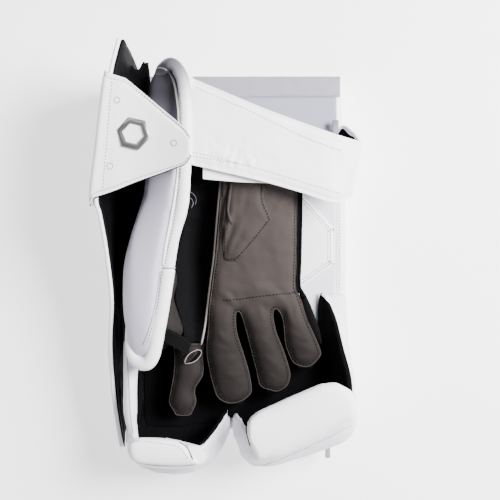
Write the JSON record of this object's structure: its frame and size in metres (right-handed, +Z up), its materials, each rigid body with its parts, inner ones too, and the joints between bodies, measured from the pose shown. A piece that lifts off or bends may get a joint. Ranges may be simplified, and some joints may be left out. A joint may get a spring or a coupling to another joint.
{
  "type": "ice hockey goalkeeper blocker glove",
  "caption": "Goalkeeper's blocking glove seen from the palm: a padded board with a glove, thumb protector, wrist strap and finger guards on its back.",
  "frame": {"origin": "the middle of the board's flat front face, which it lies on", "axes": "+X from the thumb side to the little finger side, +Y from the fingertips to the wrist, +Z up out of the palm"},
  "size_m": [0.2441, 0.3952, 0.1386],
  "materials": {
    "white_leather": "smooth white synthetic leather, soft sheen",
    "grey_leather": "lilac grey synthetic leather binding",
    "nylon": "lilac grey ripstop nylon",
    "palm_leather": "matt taupe palm suede",
    "black_cloth": "black knitted lining cloth",
    "black_leather": "shiny black lining",
    "elastic": "woven black elastic",
    "silver": "silver moulded badge"
  },
  "bodies": {
    "root": {"board": "white_leather", "back_patch": "white_leather", "thumb_pad": "white_leather", "thumb_pad_roll": "white_leather", "side_wing": "white_leather", "closing_tab": "white_leather", "wrist_strap": "white_leather", "strap_backing": "white_leather", "strap_keeper": "white_leather", "index_guard": "white_leather", "finger_guard": "white_leather", "index_roll": "white_leather", "finger_roll": "white_leather", "top_binding": "grey_leather", "end_tab": "grey_leather", "back_panel": "nylon", "palm": "palm_leather", "heel_patch": "palm_leather", "heel_welt": "palm_leather", "palm_edge": "palm_leather", "index_palm": "palm_leather", "thumb_palm": "palm_leather", "elastic_loop": "palm_leather", "backhand": "black_cloth", "middle_stall": "black_cloth", "ring_stall": "black_cloth", "pinky_stall": "black_cloth", "index_stall": "black_cloth", "thumb_stall": "black_cloth", "thumb_web": "black_cloth", "thumb_pad_lining": "black_cloth", "thumb_pad_mount": "black_cloth", "index_lining": "black_cloth", "finger_lining": "black_cloth", "guard_floor": "black_cloth", "palm_piping": "black_leather", "wing_lining": "black_leather", "thumb_elastic": "elastic", "tab_badge": "silver"}
  },
  "joints": []
}
